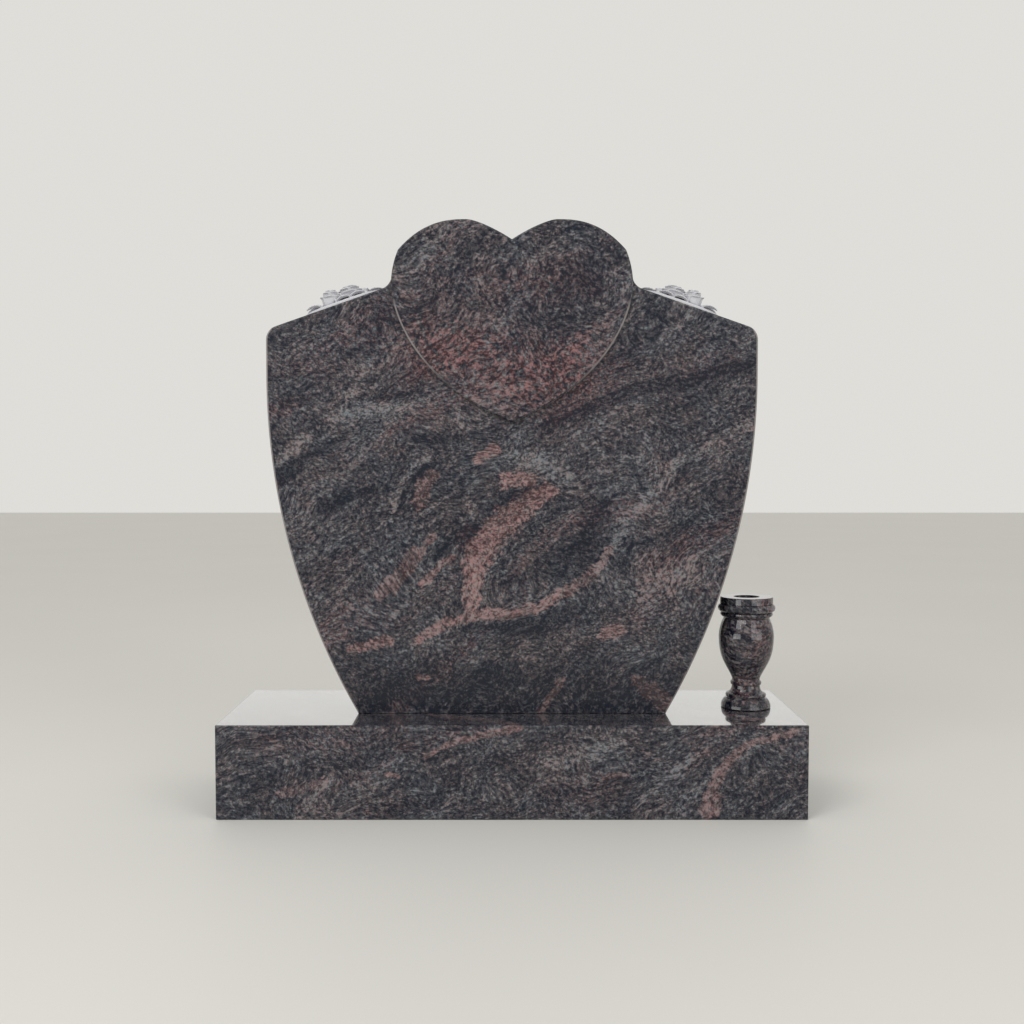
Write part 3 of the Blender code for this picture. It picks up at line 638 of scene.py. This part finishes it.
def make_roses(side, flat, material):
    """One spray, carved on the shoulder: x outward down the slope, y back, z off the surface."""
    start, end = flat
    slope = math.radians(SHOULDER_SLOPE)
    along = Vector((math.cos(slope), -math.sin(slope)))
    length = (end - start).length - SPRAY_NECK_GAP - SPRAY_CORNER_GAP
    middle = start + along * (SPRAY_NECK_GAP + length / 2)
    bm = bmesh.new()

    def on_shoulder(out, back, up):
        return Matrix.Translation((out * length, back * SPRAY_DEPTH, up))

    for k, (radius, height, out, back, tilt, turn) in enumerate(BLOOMS):
        place = on_shoulder(out, back, 0) @ turned(tilt, 'Y') @ turned(turn, 'Z')
        bloom_into(bm, radius, height, place, 1.3 * k)
    for radius, height, out, back, tilt, turn in BUDS:
        place = on_shoulder(out, back, 0) @ turned(tilt, 'Y') @ turned(turn, 'Z')
        bud_into(bm, radius, height, place, turn)
    for out, back, heading, pitch, size in LEAVES:
        place = (on_shoulder(out, back, GROUND_HEIGHT - LEAF_SINK)
                 @ turned(heading, 'Z') @ turned(-pitch, 'Y'))
        leaf_into(bm, LEAF_LENGTH * size, LEAF_WIDTH * size, place)
    # The ground under the flowers: low, flat on top, and reaching near the front arris.
    made = bmesh.ops.create_uvsphere(bm, u_segments=96, v_segments=24, radius=1.0)["verts"]
    for vert in made:
        flat_way = Vector((vert.co.x, vert.co.y))
        if flat_way.length > 1e-6:
            sides = [abs(part / flat_way.length) ** GROUND_SQUARENESS for part in flat_way]
            flat_way *= sum(sides) ** (-1 / GROUND_SQUARENESS)
        up = math.copysign(abs(vert.co.z) ** GROUND_FLATNESS, vert.co.z)
        rough = noise.noise(Vector((flat_way.x * 9, flat_way.y * 9, 3.1))) * GROUND_ROUGHNESS
        vert.co = Vector((flat_way.x * length * 0.495, flat_way.y * SPRAY_DEPTH * 0.49,
                          up * (GROUND_HEIGHT + rough)))
    place = Matrix.Translation((middle.x, 0, middle.y + SEAT)) @ Matrix.Rotation(slope, 4, 'Y')
    if side < 0:
        place = Matrix.Scale(-1, 4, (1, 0, 0)) @ place
    bmesh.ops.transform(bm, matrix=place, verts=bm.verts)
    roses = piece_from("carved_roses_right" if side > 0 else "carved_roses_left", bm, [material])
    if side < 0:
        roses.data.flip_normals()
    fuse = roses.modifiers.new("fuse", 'REMESH')
    fuse.mode = 'VOXEL'
    fuse.voxel_size = CARVING_VOXEL
    fuse.use_smooth_shade = True
    smooth = roses.modifiers.new("soften", 'SMOOTH')
    smooth.factor = 0.5
    smooth.iterations = 2
    settle(roses)
    paint_hollow_shade(roses)
    return roses


def settle(item):
    """The modifiers' result becomes the piece's own mesh."""
    depsgraph = bpy.context.evaluated_depsgraph_get()
    mesh = bpy.data.meshes.new_from_object(item.evaluated_get(depsgraph))
    item.modifiers.clear()
    item.data = mesh


def paint_hollow_shade(item):
    """A vertex attribute for painted shade and light: 0 in hollows (darkest painted shade), 0.5 on
    even stone, 1 on ridges (palest painted light).
    """
    mesh = item.data
    count = len(mesh.vertices)
    places = np.empty(count * 3)
    mesh.vertices.foreach_get("co", places)
    places = places.reshape(-1, 3)
    normals = np.empty(count * 3)
    mesh.vertex_normals.foreach_get("vector", normals)
    normals = normals.reshape(-1, 3)
    edges = np.empty(len(mesh.edges) * 2, dtype=int)
    mesh.edges.foreach_get("vertices", edges)
    edges = edges.reshape(-1, 2)
    degree = np.bincount(edges.ravel(), minlength=count)[:, None]

    def spread(values):
        total = np.zeros_like(values)
        np.add.at(total, edges[:, 0], values[edges[:, 1]])
        np.add.at(total, edges[:, 1], values[edges[:, 0]])
        return total / np.maximum(degree, 1)

    wide = places
    for _ in range(HOLLOW_ROUNDS):
        wide = spread(wide)
    relief_shade_light = ((places - wide) * normals).sum(axis=1, keepdims=True)
    for _ in range(2):
        relief_shade_light = spread(relief_shade_light)
    shade = np.clip(0.5 + relief_shade_light[:, 0] / HOLLOW_SPAN, 0, 1)
    attribute = mesh.attributes.new("relief_shade_light", 'FLOAT', 'POINT')
    attribute.data.foreach_set("value", shade)


# Where the stone's figure lies. A hill or blush is its place, its spread in x and z, and its
# height; a salmon vein is its path and its share.

TABLET_HILLS = (
    (-0.150, 0.3780, 0.060, 0.060, 0.050),     # the eye left of the middle
    (0.120, 0.2780, 0.130, 0.090, -0.060),     # the dark lens right of the middle
    (0.060, 0.6280, 0.240, 0.140, 0.040),      # the broad arch under the heart
)
TABLET_SALMON = (
    (((0.0614, 0.3772, 0.017), (0.0303, 0.3580, 0.023), (-0.0177, 0.3228, 0.031),
      (-0.0455, 0.2872, 0.029), (-0.0624, 0.2535, 0.025), (-0.0674, 0.2113, 0.018),
      (-0.0708, 0.1844, 0.016)), 0.92),
    (((-0.010, 0.3970, 0.017), (0.030, 0.3970, 0.014)), 0.92),
    (((-0.055, 0.4310, 0.012), (-0.028, 0.4500, 0.011)), 0.85),
    (((-0.0944, 0.1596, 0.010), (-0.0472, 0.1695, 0.013), (0.0046, 0.1719, 0.013),
      (0.0416, 0.1793, 0.012), (0.0658, 0.1918, 0.011), (0.1028, 0.2140, 0.010)), 0.80),
    (((0.1028, 0.2140, 0.010), (0.1399, 0.2434, 0.010), (0.1652, 0.2757, 0.009)), 0.45),
    (((-0.1585, 0.1253, 0.009), (-0.1067, 0.1574, 0.011)), 0.80),
    (((-0.155, 0.3580, 0.016), (-0.148, 0.3880, 0.016), (-0.130, 0.4080, 0.012)), 0.62),
    (((-0.2006, 0.2096, 0.010), (-0.1568, 0.2703, 0.009), (-0.1340, 0.3030, 0.008)), 0.60),
    (((-0.225, 0.2000, 0.012), (-0.190, 0.2400, 0.012), (-0.165, 0.2780, 0.008)), 0.50),
    (((-0.1517, 0.2214, 0.007), (-0.1265, 0.2467, 0.008), (-0.1067, 0.2636, 0.008),
      (-0.0969, 0.2660, 0.006)), 0.70),
    (((-0.271, 0.1100, 0.009), (-0.212, 0.1240, 0.014)), 0.85),
    (((-0.155, 0.0610, 0.007), (-0.145, 0.0590, 0.007)), 0.80),
    (((0.049, 0.0030, 0.008), (0.085, 0.0560, 0.007)), 0.65),
    (((0.212, 0.0540, 0.014), (0.262, 0.0200, 0.022)), 0.55),
    (((0.153, 0.1360, 0.012), (0.184, 0.1440, 0.012)), 0.75),
)
TABLET_GREY = (
    ((-0.2006, 0.3277, 0.008), (-0.2006, 0.3428, 0.009), (-0.1956, 0.3749, 0.010),
     (-0.1787, 0.4018, 0.010), (-0.1585, 0.4271, 0.010), (-0.1366, 0.4338, 0.008)),
    ((-0.1568, 0.3378, 0.007), (-0.1366, 0.3496, 0.007), (-0.1214, 0.3597, 0.006)),
    ((0.003, 0.4380, 0.022), (0.050, 0.4230, 0.026), (0.100, 0.3960, 0.024)),
    ((0.1399, 0.2434, 0.012), (0.1652, 0.2757, 0.014), (0.1804, 0.3007, 0.016),
     (0.215, 0.3480, 0.018), (0.243, 0.3830, 0.020), (0.285, 0.4280, 0.020),
     (0.330, 0.4540, 0.020), (0.400, 0.4880, 0.016)),
    ((-0.2057, 0.1624, 0.007), (-0.1737, 0.1894, 0.007)),
    ((-0.400, 0.4180, 0.012), (-0.380, 0.4430, 0.014), (-0.340, 0.4700, 0.012)),
    ((-0.300, 0.5030, 0.018), (-0.240, 0.5130, 0.022), (-0.170, 0.5200, 0.014)),
    ((0.230, 0.2080, 0.045), (0.300, 0.2480, 0.040)),
    ((-0.270, 0.5380, 0.014), (-0.240, 0.5880, 0.012)),
    ((-0.070, 0.3360, 0.009), (-0.073, 0.3560, 0.007)),
)
TABLET_DARK = (
    ((-0.0826, 0.2880, 0.010), (-0.0472, 0.3320, 0.011), (-0.0200, 0.3630, 0.020),
     (0.0320, 0.3860, 0.008)),
    ((-0.1905, 0.3479, 0.006), (-0.1737, 0.3816, 0.007), (-0.1568, 0.4069, 0.007),
     (-0.1382, 0.4187, 0.006)),
    ((-0.012, 0.2250, 0.018), (0.040, 0.2400, 0.034), (0.080, 0.2560, 0.045),
     (0.120, 0.2980, 0.045), (0.150, 0.3480, 0.030)),
    ((-0.080, 0.1480, 0.010), (-0.020, 0.1480, 0.018), (0.040, 0.1480, 0.024),
     (0.120, 0.1680, 0.022)),
    ((-0.278, 0.5520, 0.013), (-0.228, 0.5620, 0.010)),
    ((-0.222, 0.5320, 0.011), (-0.150, 0.5470, 0.010)),
    ((-0.385, 0.3930, 0.013), (-0.355, 0.4230, 0.016), (-0.325, 0.4480, 0.012),
     (-0.280, 0.4680, 0.008)),
    ((-0.400, 0.4880, 0.009), (-0.385, 0.5200, 0.010), (-0.350, 0.5380, 0.008)),
    ((-0.325, 0.3480, 0.018), (-0.280, 0.3680, 0.018), (-0.235, 0.3780, 0.014)),
    ((-0.175, 0.4780, 0.016), (-0.130, 0.4630, 0.022), (-0.090, 0.4680, 0.016)),
    ((-0.128, 0.2680, 0.012), (-0.100, 0.2930, 0.014), (-0.065, 0.3180, 0.010)),
    ((0.060, 0.4880, 0.022), (0.200, 0.5480, 0.020), (0.390, 0.5880, 0.024)),
    ((0.270, 0.3850, 0.009), (0.292, 0.4220, 0.012), (0.317, 0.4620, 0.009)),
    ((-0.240, 0.0300, 0.090), (0.240, 0.0300, 0.090)),
)
TABLET_BLUSH = (
    (0.050, 0.5730, 0.110, 0.058, 1.15),
    (-0.120, 0.6180, 0.075, 0.050, 0.95),
    (0.020, 0.7280, 0.120, 0.035, 0.45),
    (-0.330, 0.5880, 0.050, 0.030, 0.25),
    (0.330, 0.5880, 0.050, 0.030, 0.25),
    (-0.065, 0.2930, 0.022, 0.022, 0.80),
    (0.040, 0.3730, 0.030, 0.012, 0.80),
)

BASE_HILLS = (
    (0.300, 0.060, 0.100, 0.060, 0.030),
    (-0.120, 0.080, 0.120, 0.050, -0.025),
)
BASE_SALMON = (
    (((0.322, 0.015, 0.020), (0.338, 0.082, 0.010), (0.383, 0.122, 0.007),
      (0.463, 0.148, 0.007)), 0.60),
    (((-0.138, 0.107, 0.004), (-0.088, 0.132, 0.006), (0.011, 0.150, 0.007)), 0.60),
    (((-0.205, 0.074, 0.005), (-0.185, 0.071, 0.006)), 0.65),
    (((0.150, 0.068, 0.005), (0.190, 0.078, 0.005)), 0.50),
    (((-0.380, 0.040, 0.010), (-0.310, 0.065, 0.010)), 0.30),
)
BASE_GREY = (
    ((0.200, 0.020, 0.010), (0.300, 0.110, 0.010)),
    ((0.060, 0.090, 0.018), (0.180, 0.125, 0.014)),
    ((-0.340, 0.030, 0.014), (-0.300, 0.060, 0.012)),
)
BASE_BLUSH = (
    (-0.320, 0.135, 0.120, 0.025, 0.30),
    (0.120, 0.050, 0.060, 0.030, 0.20),
)

VASE_BLUSH = (
    (VASE_X + 0.03, 0.118, 0.04, 0.06, 0.5),
    (VASE_X + 0.01, 0.028, 0.03, 0.02, 0.6),
)

# Corner, shift and slope of each stone.
TABLET_STONE = ((FRONT, SEAT), (3.7, 1.9, 5.3), 0.72)
BASE_STONE = ((BASE_LOW.y, 0.0), (9.1, 4.4, 2.2), 0.35)
VASE_STONE = ((VASE_LOW.y, VASE_LOW.z), (5.5, 8.2, 1.4), -0.9)


def facing_up(graph):
    return graph.split(graph.node("ShaderNodeNewGeometry").outputs["Normal"])[2]


tablet_graph = granite("tablet_granite", *TABLET_STONE, TABLET_HILLS, TABLET_SALMON, TABLET_GREY,
                       TABLET_DARK, TABLET_BLUSH)
base_graph = granite("base_granite", *BASE_STONE, BASE_HILLS, BASE_SALMON, BASE_GREY,
                     blush=BASE_BLUSH)
vase_graph = granite("vase_granite", *VASE_STONE, blush=VASE_BLUSH, roughness=0.06, tone=0.9)

# The base's top is polished like a mirror; its sides are duller.
base_graph.feed(base_graph.shader.inputs["Coat Weight"],
                base_graph.range(facing_up(base_graph), 0.6, 0.95))
base_graph.shader.inputs["Coat IOR"].default_value = 2.0
base_graph.shader.inputs["Coat Roughness"].default_value = 0.012

carved = Graph("carved_granite")
place = carved.place()
relief_shade_light = carved.node("ShaderNodeAttribute", attribute_name="relief_shade_light").outputs["Fac"]
grain = carved.noise(place, 900.0, 2.0, 0.6)
cloud = carved.noise(place, 60.0, 2.0, 0.5)
# Painted shade and light: the hollows are painted dark and the ridges pale, as shade and light
# would fall on them.
tone = carved.mix(carved.range(relief_shade_light, 0.06, 0.50), (0.21, 0.21, 0.25), (0.57, 0.57, 0.60))
tone = carved.mix(carved.range(cloud, 0.40, 0.80, 0.0, 0.30), tone, (0.48, 0.48, 0.53))
tone = carved.mix(carved.range(grain, 0.56, 0.74, 0.0, 0.35), tone, (0.36, 0.36, 0.39))
carved.feed(carved.shader.inputs["Base Color"], tone)
carved.feed(carved.shader.inputs["Roughness"], carved.range(grain, 0.3, 0.7, 0.62, 0.78))
carved.bump(grain, 0.25, 0.0005)

# The eased edges are ground, not polished, so they are rougher. On top of that a painted highlight
# makes them pale where they face sideways; it fades out above the shoulders, so not on the lobes.
arris = granite("tablet_arris", *TABLET_STONE, roughness=0.35)
stone_tone = arris.shader.inputs["Base Color"].links[0].from_socket
painted_edge_highlight = arris.range(arris.math("ABSOLUTE", facing_up(arris)), 0.40, 0.60, 0.72, 0.0)
height = arris.split(arris.place())[2]
# The painted highlight fades out with height above the shoulders.
painted_edge_highlight = arris.math("MULTIPLY", painted_edge_highlight, arris.range(height, 0.838, 0.858, 1.0, 0.0))
arris.feed(arris.shader.inputs["Base Color"], arris.mix(painted_edge_highlight, stone_tone, (0.32, 0.29, 0.285)))

shoulder_flat = make_tablet([tablet_graph.material, arris.material])
for side in (1, -1):
    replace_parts(make_roses(side, shoulder_flat, carved.material), "tablet")

for node, graph in (("base", base_graph), ("vase", vase_graph)):
    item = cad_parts[node]
    for slot in item.material_slots:
        slot.material = graph.material


# Floor, light and camera

def staged(name, corners, material):
    mesh = bpy.data.meshes.new(name)
    mesh.from_pydata(corners, [], [(0, 1, 2, 3)])
    mesh.materials.append(material)
    item = bpy.data.objects.new(name, mesh)
    bpy.context.scene.collection.objects.link(item)


floor_tone = plain_tone("pale_floor", (0.68, 0.67, 0.64), 0.6)
staged("floor", [(-12, -12, 0), (12, -12, 0), (12, 12, 0), (-12, 12, 0)], floor_tone)

bpy.context.scene.view_settings.view_transform = 'Standard'
world = bpy.data.worlds.new("studio")
bpy.context.scene.world = world
world.use_nodes = True
world.node_tree.nodes["Background"].inputs["Color"].default_value = (0.80, 0.79, 0.755, 1.0)
world.node_tree.nodes["Background"].inputs["Strength"].default_value = 0.92


def softbox(name, place, aim, width, height, power):
    light = bpy.data.lights.new(name, 'AREA')
    light.shape = 'RECTANGLE'
    light.size = width
    light.size_y = height
    light.energy = power
    item = bpy.data.objects.new(name, light)
    item.location = place
    item.rotation_euler = (Vector(aim) - Vector(place)).to_track_quat('-Z', 'Y').to_euler()
    bpy.context.scene.collection.objects.link(item)
    return item


softbox("key", (-1.6, -2.6, 2.6), (0, 0, 0.5), 1.6, 1.6, 45)
softbox("fill", (2.0, -2.6, 1.8), (0, 0, 0.5), 1.6, 1.6, 21)
# The strips show in the polish alone: two on the vase, one as the bright sky in the base's top.
strips = (softbox("left_strip", (VASE_X - 1.85, -1.27, 0.42), (VASE_X, 0, 0.28), 1.15, 0.76, 13.5),
          softbox("right_strip", (VASE_X + 1.51, -1.67, 0.42), (VASE_X, 0, 0.28), 1.95, 0.76, 15),
          softbox("back_strip", (0, 3.0, 0.77), (0, 0, 0.16), 2.9, 0.40, 1.25))
for strip in strips:
    strip.visible_camera = False
    strip.visible_diffuse = False

CAMERA_TILT = 2.67             # degrees down from level
lens = bpy.data.cameras.new("camera")
lens.lens = 42.68
lens.sensor_width = 36.0
lens.shift_y = 0.00703
camera = bpy.data.objects.new("camera", lens)
camera.location = (0, -2.1045, 0.5815)
camera.rotation_euler = (math.radians(90 - CAMERA_TILT), 0, 0)
bpy.context.scene.collection.objects.link(camera)
bpy.context.scene.camera = camera
